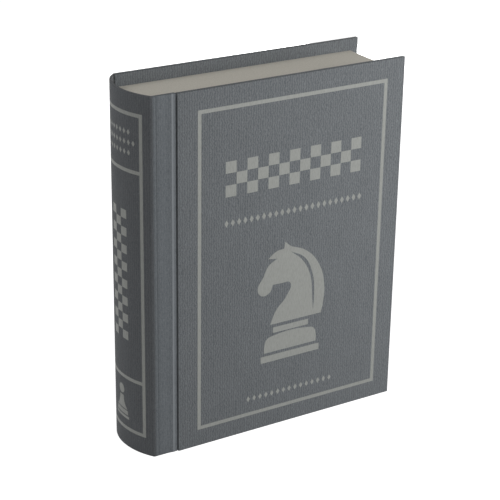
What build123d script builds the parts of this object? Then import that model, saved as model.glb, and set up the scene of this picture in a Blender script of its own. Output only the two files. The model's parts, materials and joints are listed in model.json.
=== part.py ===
"""A chess set in a case shaped like a cloth-bound book.

The book stands upright. Z is up, the spine is at -X, the fore-edge at +X and the front cover faces -Y.
The origin is the middle of the footprint. All sizes are in millimetres.
"""
import os
from math import asin, cos, radians, sin

from build123d import *

# Overall size of the closed book
CASE_HEIGHT = 267.0
COVER_WIDTH = 202.7  # from the spine's corner to the fore-edge of the covers
CASE_DEPTH = 61.5  # from the front cover's face to the back cover's face
SPINE_BULGE = 10.0

# Covers, spine and cloth
COVER_THICKNESS = 3.0
SPINE_THICKNESS = 1.8
SPINE_CORNER_RADIUS = 3.0
CLOTH = 0.4
LINING = 0.4
TURN_IN = 15.0  # cloth folded over a cover's edges, on its inner face
HINGE_TURN_IN = 5.0  # the same at the edge beside the groove
SHOULDER_WIDTH = 17.5
SHOULDER_DROP = 1.5  # how far the shoulder lies below the front cover's face
GROOVE_WIDTH = 1.1
BACK_HINGE_X = 2.4  # from the spine's corner to the back cover's hinge edge
JOINT_SLIT = 0.3  # between two boards under one cloth

# Foil stamped into the cloth: a frame on the front cover and a barred frame on the spine
FOIL = 0.1
FRONT_LINE = 2.75  # width of the front frame's line
FRONT_FRAME_SPINE = 35.4  # from the spine's corner to the middle of the line
FRONT_FRAME_FORE = 15.9  # from the fore-edge
FRONT_FRAME_HEAD = 15.5
FRONT_FRAME_TAIL = 14.4
SPINE_LINE = 2.6
SPINE_FRAME_SIDE = 8.2  # along the curve, from the spine's corner to the middle of the line
SPINE_FRAME_HEAD = 14.6
SPINE_FRAME_TAIL = 15.0
SPINE_BAR_HEAD = 54.6  # from the head to the upper cross bar
SPINE_BAR_TAIL = 55.8  # from the tail to the lower cross bar

# Box between the covers
HEAD_SQUARE = 9.1  # how far the covers reach past the box at head and tail
FORE_SQUARE = 6.7
PAPER = 0.3
WALL = 2.7
FLOOR = 2.0
DIVIDER = 2.5
DIVIDER_DROP = 3.2  # the divider's rim lies this far below the box's rim
RAIL_WIDTH = 7.2
PLATFORM = 2.0
PLATFORM_RAIL_WIDTH = 12.0
PLATFORM_RAIL_COUNT = 3

# Gaps
BODY_GAP = 0.3  # between pieces that move apart
SEAT_GAP = 0.3  # round a man in its trough
FOLD_GAP = 0.2  # between the printed faces of the folded board
COVER_SWING_GAP = 0.5  # between the opened cover and the board's turning leaf
BOARD_DROP = 0.2  # how far the folded board lies below the box's rim

# Closing magnets
MAGNET_WIDTH = 1.8
MAGNET_LENGTH = 20.0
MAGNET_DEPTH = 1.2
CATCH_DEPTH = 0.8
MAGNET_END = 31.4  # from the box's end walls to the middle of each magnet

# Folding board
LEAF_THICKNESS = 2.7
PRINT_SHEET = 0.3
TAPE = 0.4

# Rules booklet
BOOKLET_SIDE_MARGIN = 8.05  # between the booklet's long edges and the board's
BOOKLET_HEAD_MARGIN = 82.8  # from its head edge to the box's head wall
BOOKLET_THICKNESS = 1.2

# Foam inserts
TROUGH_FLOOR = 2.5  # foam left under the deepest trough
SIDE_FACE_DROP = 6.2  # the side insert's face lies this far below the box's rim
TROUGH_END = 1.0  # foam left past each end of the longest trough
TROUGH_FOOT_SHARE = 1.1  # length of a trough's wide part, as a share of the foot's radius
TROUGH_OPEN = 1.0  # how far a trough's cut runs out past the foam's face

# Chessmen: the height of each kind and the radius of its foot
KING_HEIGHT = 41.0
KING_FOOT = 9.4
QUEEN_HEIGHT = 37.0
QUEEN_FOOT = 9.0
BISHOP_HEIGHT = 32.5
BISHOP_FOOT = 8.2
KNIGHT_HEIGHT = 30.0
KNIGHT_FOOT = 8.4
ROOK_HEIGHT = 26.0
ROOK_FOOT = 8.2
PAWN_HEIGHT = 24.0
PAWN_FOOT = 7.4
FELT = 0.6
FELT_SHARE = 0.86  # the felt's radius as a share of the foot's
BALL_FLAT_ANGLE = 84  # where a turned ball ends in the small flat that the lathe leaves
SAME_PLACE = 0.01  # two points nearer than this are one

# Places worked out from the sizes above
SPINE_X = (SPINE_BULGE - COVER_WIDTH) / 2
FORE_X = SPINE_X + COVER_WIDTH
FRONT_Y = -CASE_DEPTH / 2
BACK_Y = CASE_DEPTH / 2
SHOULDER_Y = FRONT_Y + SHOULDER_DROP
GROOVE_X = SPINE_X + SHOULDER_WIDTH
COVER_HINGE_X = GROOVE_X + GROOVE_WIDTH
HINGE_X = GROOVE_X + GROOVE_WIDTH / 2
BACK_BOARD_X = SPINE_X + BACK_HINGE_X

BOX_FRONT = FRONT_Y + COVER_THICKNESS + BODY_GAP
BOX_BACK = BACK_Y - COVER_THICKNESS
BOX_TAIL = HEAD_SQUARE
BOX_HEAD = CASE_HEIGHT - HEAD_SQUARE
BOX_FORE = FORE_X - FORE_SQUARE
FLOOR_Y = BOX_BACK - FLOOR
INNER_TAIL = BOX_TAIL + PAPER + WALL
INNER_HEAD = BOX_HEAD - PAPER - WALL
INNER_FORE = BOX_FORE - PAPER - WALL

# The board's fold stands clear of the cover when both are at right angles to the box
FOLD_X = HINGE_X + COVER_THICKNESS + BODY_GAP + LEAF_THICKNESS + COVER_SWING_GAP
LEAF_X = FOLD_X + FOLD_GAP / 2
RAIL_X1 = LEAF_X - TAPE - BODY_GAP
RAIL_X0 = RAIL_X1 - RAIL_WIDTH

SIDE_WIDTH = KING_HEIGHT + FELT + 2 * SEAT_GAP + 2 * TROUGH_END
SIDE_X = INNER_FORE - SIDE_WIDTH
DIVIDER_X = SIDE_X - DIVIDER

LEAF_WIDTH = min(DIVIDER_X - BODY_GAP - LEAF_X, (INNER_HEAD - INNER_TAIL) / 2 - BODY_GAP)
LEAF_HEIGHT = 2 * LEAF_WIDTH
LEAF_TAIL = INNER_TAIL + BODY_GAP

FAR_LEAF_Y = BOX_FRONT + BOARD_DROP
FOLD_Y = FAR_LEAF_Y + LEAF_THICKNESS + FOLD_GAP / 2
NEAR_LEAF_Y = FOLD_Y + FOLD_GAP / 2
NEAR_LEAF_BACK = NEAR_LEAF_Y + LEAF_THICKNESS
BOOKLET_Y = NEAR_LEAF_BACK + BODY_GAP
MAIN_FACE_Y = BOOKLET_Y + BOOKLET_THICKNESS
SIDE_FACE_Y = BOX_FRONT + SIDE_FACE_DROP
PLATFORM_Y = MAIN_FACE_Y + 2 * KING_FOOT + 2 * SEAT_GAP + TROUGH_FLOOR
DIVIDER_Y = BOX_FRONT + DIVIDER_DROP

ROWS = 8
BACK_RANK = ["rook", "knight", "bishop", "queen", "king", "bishop", "knight", "rook"]


def block(x0, x1, y0, y1, z0, z1):
    """A box between two corners."""
    middle = Pos((x0 + x1) / 2, (y0 + y1) / 2, (z0 + z1) / 2)
    return middle * Box(x1 - x0, y1 - y0, z1 - z0)


def plan_rectangle(x0, x1, y0, y1):
    """A flat rectangle seen from above."""
    return Pos((x0 + x1) / 2, (y0 + y1) / 2) * Rectangle(x1 - x0, y1 - y0)


def column(plan, z0, z1):
    """A plan carried straight up from z0 to z1."""
    return Pos(0, 0, z0) * extrude(plan, amount=z1 - z0)


def write(name, pieces):
    """Write one node: a solid, or a group of separate solids."""
    solids = [solid for piece in pieces for solid in piece.solids()]
    shape = solids[0] if len(solids) == 1 else Compound(children=solids)
    shape.label = name
    export_step(shape, f"parts/{name}.step")


# Spine and shoulder


def spine_plan(inset):
    """All that lies inside the surface of shoulder, spine and back, that far in, seen from above."""
    far_x = SPINE_X + COVER_WIDTH / 2
    middle_y = (SHOULDER_Y + BACK_Y) / 2
    shoulder = Line((far_x, SHOULDER_Y), (SPINE_X, SHOULDER_Y))
    spine = ThreePointArc((SPINE_X, SHOULDER_Y), (SPINE_X - SPINE_BULGE, middle_y), (SPINE_X, BACK_Y))
    back = Line((SPINE_X, BACK_Y), (far_x, BACK_Y))
    closing = Line((far_x, BACK_Y), (far_x, SHOULDER_Y))
    plan = make_face([shoulder, spine, back, closing])
    corners = [corner for corner in plan.vertices() if abs(corner.X - SPINE_X) < SAME_PLACE]
    plan = fillet(corners, SPINE_CORNER_RADIUS)
    if inset:
        plan = offset(plan, -inset)
    return plan


def spine_strip(outer_inset, inner_inset):
    """A bent strip that runs from the groove over the shoulder and round the spine to the back cover."""
    strip = spine_plan(outer_inset) - spine_plan(inner_inset)
    left = SPINE_X - SPINE_BULGE
    front_part = plan_rectangle(left, GROOVE_X, FRONT_Y, 0)
    back_part = plan_rectangle(left, BACK_BOARD_X, 0, BACK_Y)
    return strip & (front_part + back_part)


def spine_y(along):
    """The y of a point on the spine's curve, that far along it from its front corner."""
    half_chord = (BACK_Y - SHOULDER_Y) / 2
    radius = (half_chord**2 + SPINE_BULGE**2) / (2 * SPINE_BULGE)
    half_angle = asin(half_chord / radius)
    return (SHOULDER_Y + BACK_Y) / 2 - radius * sin(half_angle - along / radius)


def make_spine_foil():
    """The barred frame on the spine, in the outermost part of the cloth."""
    side_a = spine_y(SPINE_FRAME_SIDE - SPINE_LINE / 2)
    side_b = spine_y(SPINE_FRAME_SIDE + SPINE_LINE / 2)
    mirror = SHOULDER_Y + BACK_Y
    left = SPINE_X - SPINE_BULGE
    layer = spine_plan(0) - spine_plan(FOIL)
    line_plan = layer & plan_rectangle(left, SPINE_X, side_a, side_b)
    far_line_plan = layer & plan_rectangle(left, SPINE_X, mirror - side_b, mirror - side_a)
    bar_plan = layer & plan_rectangle(left, SPINE_X, side_a, mirror - side_a)
    low = SPINE_FRAME_TAIL - SPINE_LINE / 2
    high = CASE_HEIGHT - SPINE_FRAME_HEAD + SPINE_LINE / 2
    foil = column(line_plan, low, high) + column(far_line_plan, low, high)
    bar_heights = [
        SPINE_FRAME_TAIL,
        SPINE_BAR_TAIL,
        CASE_HEIGHT - SPINE_BAR_HEAD,
        CASE_HEIGHT - SPINE_FRAME_HEAD,
    ]
    for z in bar_heights:
        foil += column(bar_plan, z - SPINE_LINE / 2, z + SPINE_LINE / 2)
    return foil


def make_spine():
    board_plan = spine_strip(CLOTH, SPINE_THICKNESS)
    bend_x = SPINE_X + SPINE_CORNER_RADIUS
    shoulder_zone = plan_rectangle(bend_x + JOINT_SLIT / 2, GROOVE_X, FRONT_Y, 0)
    bend_zone = plan_rectangle(bend_x - JOINT_SLIT / 2, GROOVE_X, FRONT_Y, 0)
    back_slit = plan_rectangle(BACK_BOARD_X - JOINT_SLIT, BACK_BOARD_X, 0, BACK_Y)
    low = CLOTH
    high = CASE_HEIGHT - CLOTH
    write("shoulder_board", [column(board_plan & shoulder_zone, low, high)])
    write("spine_board", [column(board_plan - bend_zone - back_slit, low, high)])
    skin = column(spine_strip(0, CLOTH), 0, CASE_HEIGHT)
    edge_plan = spine_strip(0, SPINE_THICKNESS)
    cloth = skin + column(edge_plan, 0, low) + column(edge_plan, high, CASE_HEIGHT)
    foil = make_spine_foil()
    write("spine_foil", [foil])
    write("spine_cloth", [cloth - foil])


# Covers


def cover_pieces(x0, x1, outer_y, inward, hinge_edge_open):
    """Board, cloth and lining of one cover. The inward direction is +1 from the front, -1 from the back."""
    inner_y = outer_y + inward * COVER_THICKNESS
    board_outer = outer_y + inward * CLOTH
    board_inner = inner_y - inward * LINING
    board_x0 = x0 if hinge_edge_open else x0 + CLOTH
    window_x0 = x0 if hinge_edge_open else x0 + HINGE_TURN_IN

    def slab(left, right, y_a, y_b, margin):
        return block(left, right, min(y_a, y_b), max(y_a, y_b), margin, CASE_HEIGHT - margin)

    board = slab(board_x0, x1 - CLOTH, board_outer, board_inner, CLOTH)
    lining = slab(window_x0, x1 - TURN_IN, board_inner, inner_y, TURN_IN)
    cloth = slab(x0, x1, outer_y, inner_y, 0) - board - lining
    return board, cloth, lining


def make_front_foil():
    """The frame on the front cover, in the outermost part of the cloth."""
    half = FRONT_LINE / 2
    x0 = SPINE_X + FRONT_FRAME_SPINE
    x1 = FORE_X - FRONT_FRAME_FORE
    z0 = FRONT_FRAME_TAIL
    z1 = CASE_HEIGHT - FRONT_FRAME_HEAD
    outside = block(x0 - half, x1 + half, FRONT_Y, FRONT_Y + FOIL, z0 - half, z1 + half)
    inside = block(x0 + half, x1 - half, FRONT_Y, FRONT_Y + FOIL, z0 + half, z1 - half)
    return outside - inside


def magnet_centres():
    return [INNER_TAIL + MAGNET_END, INNER_HEAD - MAGNET_END]


def closure_bars(y0, y1):
    """A bar over the fore-edge wall at each magnet's height."""
    middle_x = (INNER_FORE + BOX_FORE - PAPER) / 2
    bars = []
    for z in magnet_centres():
        low = z - MAGNET_LENGTH / 2
        high = z + MAGNET_LENGTH / 2
        bars.append(block(middle_x - MAGNET_WIDTH / 2, middle_x + MAGNET_WIDTH / 2, y0, y1, low, high))
    return bars


def make_covers():
    board, cloth, lining = cover_pieces(COVER_HINGE_X, FORE_X, FRONT_Y, 1, False)
    board_inner = FRONT_Y + COVER_THICKNESS - LINING
    magnets = closure_bars(board_inner - MAGNET_DEPTH, board_inner)
    foil = make_front_foil()
    write("front_board", [board - magnets])
    write("front_cloth", [cloth - foil])
    write("front_foil", [foil])
    write("front_lining", [lining])
    write("closure_magnets", magnets)
    board, cloth, lining = cover_pieces(BACK_BOARD_X, FORE_X, BACK_Y, -1, True)
    write("back_board", [board])
    write("back_cloth", [cloth])
    write("back_lining", [lining])


def make_hinge_cloth():
    """The strip of cloth at the bottom of the groove, glued to the shoulder's edge."""
    strip_y = SHOULDER_Y + SPINE_THICKNESS / 2
    strip_x1 = COVER_HINGE_X - FOLD_GAP / 2
    write("hinge_cloth", [block(GROOVE_X, strip_x1, strip_y, strip_y + CLOTH, CLOTH, CASE_HEIGHT - CLOTH)])


# Box between the covers


def box_plan(y0, y1, x1):
    """The box seen from above, with its end that follows the spine's inner curve."""
    inside_spine = spine_plan(SPINE_THICKNESS + JOINT_SLIT)
    near_spine = inside_spine & plan_rectangle(SPINE_X - SPINE_BULGE, RAIL_X0, y0, y1)
    return near_spine + plan_rectangle(RAIL_X0, x1, y0, y1)


def make_box():
    wall_x1 = BOX_FORE - PAPER
    wall_plan = box_plan(BOX_FRONT, FLOOR_Y, wall_x1)
    write("tray_tail_wall", [column(wall_plan, BOX_TAIL + PAPER, INNER_TAIL)])
    write("tray_head_wall", [column(wall_plan, INNER_HEAD, BOX_HEAD - PAPER)])
    floor_plan = box_plan(FLOOR_Y, BOX_BACK, wall_x1)
    write("tray_floor", [column(floor_plan, BOX_TAIL + PAPER, BOX_HEAD - PAPER)])
    catches = closure_bars(BOX_FRONT, BOX_FRONT + CATCH_DEPTH)
    fore_wall = block(INNER_FORE, wall_x1, BOX_FRONT, FLOOR_Y, INNER_TAIL, INNER_HEAD)
    write("tray_fore_edge_wall", [fore_wall - catches])
    write("catch_plates", catches)
    write("tray_hinge_rail", [block(RAIL_X0, RAIL_X1, BOX_FRONT, FLOOR_Y, INNER_TAIL, INNER_HEAD)])
    sheet_plan = box_plan(BOX_FRONT, BOX_BACK, BOX_FORE)
    tail_sheet = column(sheet_plan, BOX_TAIL, BOX_TAIL + PAPER)
    head_sheet = column(sheet_plan, BOX_HEAD - PAPER, BOX_HEAD)
    fore_sheet = block(wall_x1, BOX_FORE, BOX_FRONT, BOX_BACK, BOX_TAIL, BOX_HEAD)
    write("tray_paper", [tail_sheet + head_sheet + fore_sheet])


def make_platform():
    platform_back = PLATFORM_Y + PLATFORM
    write("platform_board", [block(RAIL_X1, INNER_FORE, PLATFORM_Y, platform_back, INNER_TAIL, INNER_HEAD)])
    first_x = RAIL_X1
    last_x = INNER_FORE - PLATFORM_RAIL_WIDTH
    step = (last_x - first_x) / (PLATFORM_RAIL_COUNT - 1)
    rails = []
    for index in range(PLATFORM_RAIL_COUNT):
        left = first_x + index * step
        rails.append(block(left, left + PLATFORM_RAIL_WIDTH, platform_back, FLOOR_Y, INNER_TAIL, INNER_HEAD))
    write("platform_rails", rails)
    write("tray_divider", [block(DIVIDER_X, SIDE_X, DIVIDER_Y, PLATFORM_Y, INNER_TAIL, INNER_HEAD)])


# Folding board


def leaf_slab(y0, y1):
    return block(LEAF_X, LEAF_X + LEAF_WIDTH, y0, y1, LEAF_TAIL, LEAF_TAIL + LEAF_HEIGHT)


def make_board():
    far_back = FAR_LEAF_Y + PRINT_SHEET
    far_print = FAR_LEAF_Y + LEAF_THICKNESS - PRINT_SHEET
    write("board_far_backing", [leaf_slab(FAR_LEAF_Y, far_back)])
    write("board_far_leaf", [leaf_slab(far_back, far_print)])
    write("board_far_print", [leaf_slab(far_print, FAR_LEAF_Y + LEAF_THICKNESS)])
    near_print = NEAR_LEAF_Y + PRINT_SHEET
    near_back = NEAR_LEAF_BACK - PRINT_SHEET
    write("board_near_print", [leaf_slab(NEAR_LEAF_Y, near_print)])
    write("board_near_leaf", [leaf_slab(near_print, near_back)])
    write("board_near_backing", [leaf_slab(near_back, NEAR_LEAF_BACK)])
    tape = block(LEAF_X - TAPE, LEAF_X, FAR_LEAF_Y, NEAR_LEAF_BACK, LEAF_TAIL, LEAF_TAIL + LEAF_HEIGHT)
    write("board_tape", [tape])


def make_booklet():
    left = LEAF_X + BOOKLET_SIDE_MARGIN
    right = LEAF_X + LEAF_WIDTH - BOOKLET_SIDE_MARGIN
    high = INNER_HEAD - BOOKLET_HEAD_MARGIN
    write("rules_booklet", [block(left, right, BOOKLET_Y, BOOKLET_Y + BOOKLET_THICKNESS, INNER_TAIL, high)])


# Chessmen, each turned upright on the origin before it is laid down


def turned(outline):
    """A solid of revolution about Z from an outline in the XZ plane, drawn from the foot up."""
    first = outline[0] @ 0
    last = outline[-1] @ 1
    edges = [Line((0, 0, first.Z), first)] + outline
    if last.X > SAME_PLACE:
        edges.append(Line(last, (0, 0, last.Z)))
    top = edges[-1] @ 1
    edges.append(Line(top, (0, 0, first.Z)))
    return revolve(make_face(edges), Axis.Z)


def arc(start, through, end):
    """A round stretch of an outline, each point given as radius and height."""
    return ThreePointArc((start[0], 0, start[1]), (through[0], 0, through[1]), (end[0], 0, end[1]))


def straight(start, end):
    return Line((start[0], 0, start[1]), (end[0], 0, end[1]))


def ball_start(radius, middle_z, angle):
    """A point on a ball's outline, that many degrees above its middle."""
    return radius * cos(radians(angle)), middle_z + radius * sin(radians(angle))


def ball(radius, middle_z, angle):
    """The round stretch of a ball on the axis, from that angle up to the small flat at its top."""
    through = ball_start(radius, middle_z, (angle + BALL_FLAT_ANGLE) / 2)
    return arc(ball_start(radius, middle_z, angle), through, ball_start(radius, middle_z, BALL_FLAT_ANGLE))


def foot_and_stem(foot, neck, neck_z, collar):
    """Outline of the foot, the waisted stem and the collar. Returns it with the collar's top point."""
    plinth = (foot, 0.22 * foot)
    bead = (0.80 * foot, 0.54 * foot)
    waist_x = neck + 0.24 * (bead[0] - neck)
    waist_z = bead[1] + 0.42 * (neck_z - bead[1])
    rim_low = (collar, neck_z + 0.06 * foot)
    rim_high = (collar, neck_z + 0.20 * foot)
    rim_side = (collar + 0.07 * foot, neck_z + 0.13 * foot)
    top = (neck * 1.12, neck_z + 0.27 * foot)
    outline = [
        straight((foot, 0), plinth),
        arc(plinth, (0.97 * foot, 0.44 * foot), bead),
        arc(bead, (waist_x, waist_z), (neck, neck_z)),
        straight((neck, neck_z), rim_low),
        arc(rim_low, rim_side, rim_high),
        straight(rim_high, top),
    ]
    return outline, top


def make_pawn(height, foot):
    head = 0.56 * foot
    low_angle = -60
    start = ball_start(head, height - head, low_angle)
    neck_z = start[1] - 0.27 * foot
    outline, top = foot_and_stem(foot, 0.36 * foot, neck_z, 0.62 * foot)
    outline += [straight(top, start), ball(head, height - head, low_angle)]
    return turned(outline)


def make_rook(height, foot):
    neck = 0.56 * foot
    turret = 0.78 * foot
    turret_z = height - 0.78 * foot
    outline, top = foot_and_stem(foot, neck, turret_z - 0.40 * foot, 0.72 * foot)
    well = 0.50 * foot
    well_z = height - 0.34 * foot
    outline += [
        straight(top, (turret, turret_z)),
        straight((turret, turret_z), (turret, height)),
        straight((turret, height), (well, height)),
        straight((well, height), (well, well_z)),
    ]
    body = turned(outline)
    notch = Pos(0, 0, height) * Box(3 * turret, 0.26 * foot, 0.5 * foot)
    notches = [Rot(0, 0, angle) * notch for angle in (0, 60, 120)]
    return body - notches


def make_bishop(height, foot):
    neck = 0.34 * foot
    mitre = 0.50 * foot
    knob = 0.15 * foot
    head_z = height - 1.55 * foot
    outline, top = foot_and_stem(foot, neck, head_z - 0.27 * foot, 0.60 * foot)
    widest = (mitre, head_z + 0.42 * foot)
    low_angle = -55
    tip = ball_start(knob, height - knob, low_angle)
    outline += [
        arc(top, (0.9 * mitre, head_z + 0.14 * foot), widest),
        arc(widest, (0.72 * mitre, head_z + 0.92 * foot), tip),
        ball(knob, height - knob, low_angle),
    ]
    cut = Pos(0.42 * foot, 0, head_z + 0.86 * foot) * Rot(0, 38, 0) * Box(0.13 * foot, 2 * foot, 0.9 * foot)
    return turned(outline) - cut


def flared_crown(height, foot, rim, rim_z):
    """Stem and flared cup of a queen or king, up to the rim."""
    neck = 0.34 * foot
    cup_z = rim_z - 0.95 * foot
    outline, top = foot_and_stem(foot, neck, cup_z - 0.27 * foot, 0.60 * foot)
    side = ((neck + rim) / 2 - 0.06 * foot, (cup_z + rim_z) / 2)
    outline += [arc(top, side, (rim, rim_z))]
    return outline


def make_queen(height, foot):
    rim = 0.62 * foot
    rim_z = height - 0.40 * foot
    knob = 0.16 * foot
    well = (0.40 * foot, rim_z - 0.06 * foot)
    low_angle = -40
    dome = ball_start(knob, height - knob, low_angle)
    outline = flared_crown(height, foot, rim, rim_z)
    outline += [
        straight((rim, rim_z), (0.86 * rim, rim_z + 0.05 * foot)),
        straight((0.86 * rim, rim_z + 0.05 * foot), well),
        arc(well, (0.30 * foot, rim_z + 0.07 * foot), dome),
        ball(knob, height - knob, low_angle),
    ]
    bite = Pos(rim, 0, rim_z + 0.04 * foot) * Rot(0, 90, 0) * Cylinder(0.13 * foot, 0.6 * foot)
    bites = [Rot(0, 0, 45 * index) * bite for index in range(8)]
    return turned(outline) - bites


def make_king(height, foot):
    rim = 0.60 * foot
    cross = 0.58 * foot
    bar = 0.17 * foot
    rim_z = height - cross - 0.30 * foot
    outline = flared_crown(height, foot, rim, rim_z)
    outline += [arc((rim, rim_z), (0.36 * foot, rim_z + 0.22 * foot), (0, rim_z + 0.30 * foot))]
    upright = Pos(0, 0, height - cross / 2) * Box(bar, bar, cross)
    root = Pos(0, 0, height - cross) * Box(bar, bar, 0.2 * foot)
    arms = Pos(0, 0, height - 0.42 * cross) * Box(0.46 * foot, bar, bar)
    return turned(outline) + upright + root + arms


def make_knight(height, foot):
    """A turned foot with a horse's head on it, the head looking towards -X."""
    seat_z = 0.86 * foot
    outline = [
        straight((foot, 0), (foot, 0.22 * foot)),
        arc((foot, 0.22 * foot), (0.97 * foot, 0.44 * foot), (0.80 * foot, 0.54 * foot)),
        arc((0.80 * foot, 0.54 * foot), (0.70 * foot, 0.64 * foot), (0.70 * foot, seat_z)),
    ]
    rise = height - seat_z

    def at(x, z):
        return (x * foot, 0, seat_z + z * rise)

    chest = Spline([at(-0.52, -0.02), at(-0.44, 0.22), at(-0.10, 0.46), at(-0.14, 0.55)])
    jaw = Spline([at(-0.14, 0.55), at(-0.40, 0.50), at(-0.62, 0.40)])
    muzzle = Spline([at(-0.62, 0.40), at(-0.86, 0.40), at(-0.88, 0.54)])
    face = Spline([at(-0.88, 0.54), at(-0.60, 0.76), at(-0.38, 0.88), at(-0.16, 0.90)])
    ear = Polyline([at(-0.16, 0.90), at(-0.12, 1.0), at(0.04, 0.93)])
    mane = Spline([at(0.04, 0.93), at(0.52, 0.72), at(0.70, 0.34), at(0.56, -0.02)])
    base = Line(at(0.56, -0.02), at(-0.52, -0.02))
    profile = make_face([chest, jaw, muzzle, face, ear, mane, base])
    half_width = 0.36 * foot
    head = extrude(profile, amount=half_width, both=True)
    return turned(outline) + head


# Each kind's height, foot radius and maker, and how wide its trough is past the foot, as a share of the foot
MEN = {
    "king": (KING_HEIGHT, KING_FOOT, make_king, 0.66),
    "queen": (QUEEN_HEIGHT, QUEEN_FOOT, make_queen, 0.68),
    "bishop": (BISHOP_HEIGHT, BISHOP_FOOT, make_bishop, 0.68),
    "knight": (KNIGHT_HEIGHT, KNIGHT_FOOT, make_knight, 1.0),
    "rook": (ROOK_HEIGHT, ROOK_FOOT, make_rook, 0.80),
    "pawn": (PAWN_HEIGHT, PAWN_FOOT, make_pawn, 0.70),
}


def row_z(row):
    """Height of the middle of a row of troughs."""
    pitch = (INNER_HEAD - INNER_TAIL) / ROWS
    return INNER_TAIL + (row + 0.5) * pitch


class Place:
    """Where one man lies: its kind, the x of its foot, which way it points, its row and its foam."""

    def __init__(self, kind, foot_x, pointing, row, face_y):
        self.kind = kind
        self.foot_x = foot_x
        self.pointing = pointing
        self.z = row_z(row)
        self.face_y = face_y
        self.height, self.foot, maker, self.trough_share = MEN[kind]
        self.axis_y = face_y + SEAT_GAP + self.foot

    def lay(self, shape):
        """Lay an upright shape down along X, its foot at this place."""
        turn = Rot(0, 90 * self.pointing, 0)
        return Pos(self.foot_x, self.axis_y, self.z) * turn * shape

    def felt(self):
        disc = Pos(0, 0, -FELT / 2) * Cylinder(FELT_SHARE * self.foot, FELT)
        return self.lay(disc)

    def trough(self):
        """What is cut from the foam: a round-bottomed trough, wide at the foot and narrower past it."""
        foot_end = TROUGH_FOOT_SHARE * self.foot
        body = self.trough_share * self.foot + SEAT_GAP
        wide = self.cut(-FELT - SEAT_GAP, foot_end + SEAT_GAP, self.foot + SEAT_GAP)
        narrow = self.cut(foot_end, self.height + SEAT_GAP, body)
        return wide + narrow

    def cut(self, start, end, radius):
        low, high = sorted([self.foot_x + self.pointing * start, self.foot_x + self.pointing * end])
        rod = Pos((low + high) / 2, self.axis_y, self.z) * Rot(0, 90, 0) * Cylinder(radius, high - low)
        above = block(low, high, self.face_y - TROUGH_OPEN, self.axis_y, self.z - radius, self.z + radius)
        return rod + above


def all_places():
    """The place of every man: one column under the divider's far side and three under the board."""
    rank = KING_HEIGHT + FELT
    pawn = PAWN_HEIGHT + FELT
    main_width = DIVIDER_X - RAIL_X1
    gap = (main_width - rank - 2 * pawn) / 4
    black_rank_x = RAIL_X1 + gap + FELT
    black_pawn_x = RAIL_X1 + 2 * gap + rank + FELT
    white_pawn_x = DIVIDER_X - gap - FELT
    white_rank_x = INNER_FORE - TROUGH_END - SEAT_GAP - FELT
    places = {"white": [], "black": []}
    for row, kind in enumerate(BACK_RANK):
        places["white"].append(Place(kind, white_rank_x, -1, row, SIDE_FACE_Y))
        places["white"].append(Place("pawn", white_pawn_x, -1, row, MAIN_FACE_Y))
        places["black"].append(Place(kind, black_rank_x, 1, row, MAIN_FACE_Y))
        places["black"].append(Place("pawn", black_pawn_x, 1, row, MAIN_FACE_Y))
    return places


def make_men(places):
    upright = {kind: maker(height, foot) for kind, (height, foot, maker, share) in MEN.items()}
    for colour, men in places.items():
        for kind in MEN:
            laid = [man.lay(upright[kind]) for man in men if man.kind == kind]
            plural = kind if len(laid) == 1 else kind + "s"
            write(f"{colour}_{plural}", laid)
        write(f"{colour}_felts", [man.felt() for man in men])


def make_inserts(places):
    every = places["white"] + places["black"]
    side_cuts = [man.trough() for man in every if man.face_y == SIDE_FACE_Y]
    main_cuts = [man.trough() for man in every if man.face_y == MAIN_FACE_Y]
    side = block(SIDE_X, INNER_FORE, SIDE_FACE_Y, PLATFORM_Y, INNER_TAIL, INNER_HEAD)
    main = block(RAIL_X1, DIVIDER_X, MAIN_FACE_Y, PLATFORM_Y, INNER_TAIL, INNER_HEAD)
    write("side_insert", [side - side_cuts])
    write("main_insert", [main - main_cuts])


os.makedirs("parts", exist_ok=True)
make_spine()
make_covers()
make_hinge_cloth()
make_box()
make_platform()
make_board()
make_booklet()
men_places = all_places()
make_men(men_places)
make_inserts(men_places)
print("box", SPINE_X - SPINE_BULGE, FORE_X, FRONT_Y, BACK_Y, CASE_HEIGHT)
print("cover hinge", HINGE_X, FRONT_Y, "fold", FOLD_X, FOLD_Y, "leaf", LEAF_WIDTH, LEAF_HEIGHT)
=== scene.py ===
# %% [markdown]
# # A chess set in a book-shaped case
#
# This lesson finishes a case that stands on a shelf like a cloth-bound book. Its boards, tray, folding board
# and chessmen already exist as exact solids. Blender adds what the eye sees: woven cloth that wraps the
# boards, a silver print, pale paper, felt and wood.
#
# The solids are loaded as a fixed frame that nobody moves. A piece that we model takes its place from the
# solid that it covers, so nothing has to be fitted afterwards.

# %% Load the fixed frame
import json
import math

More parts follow.
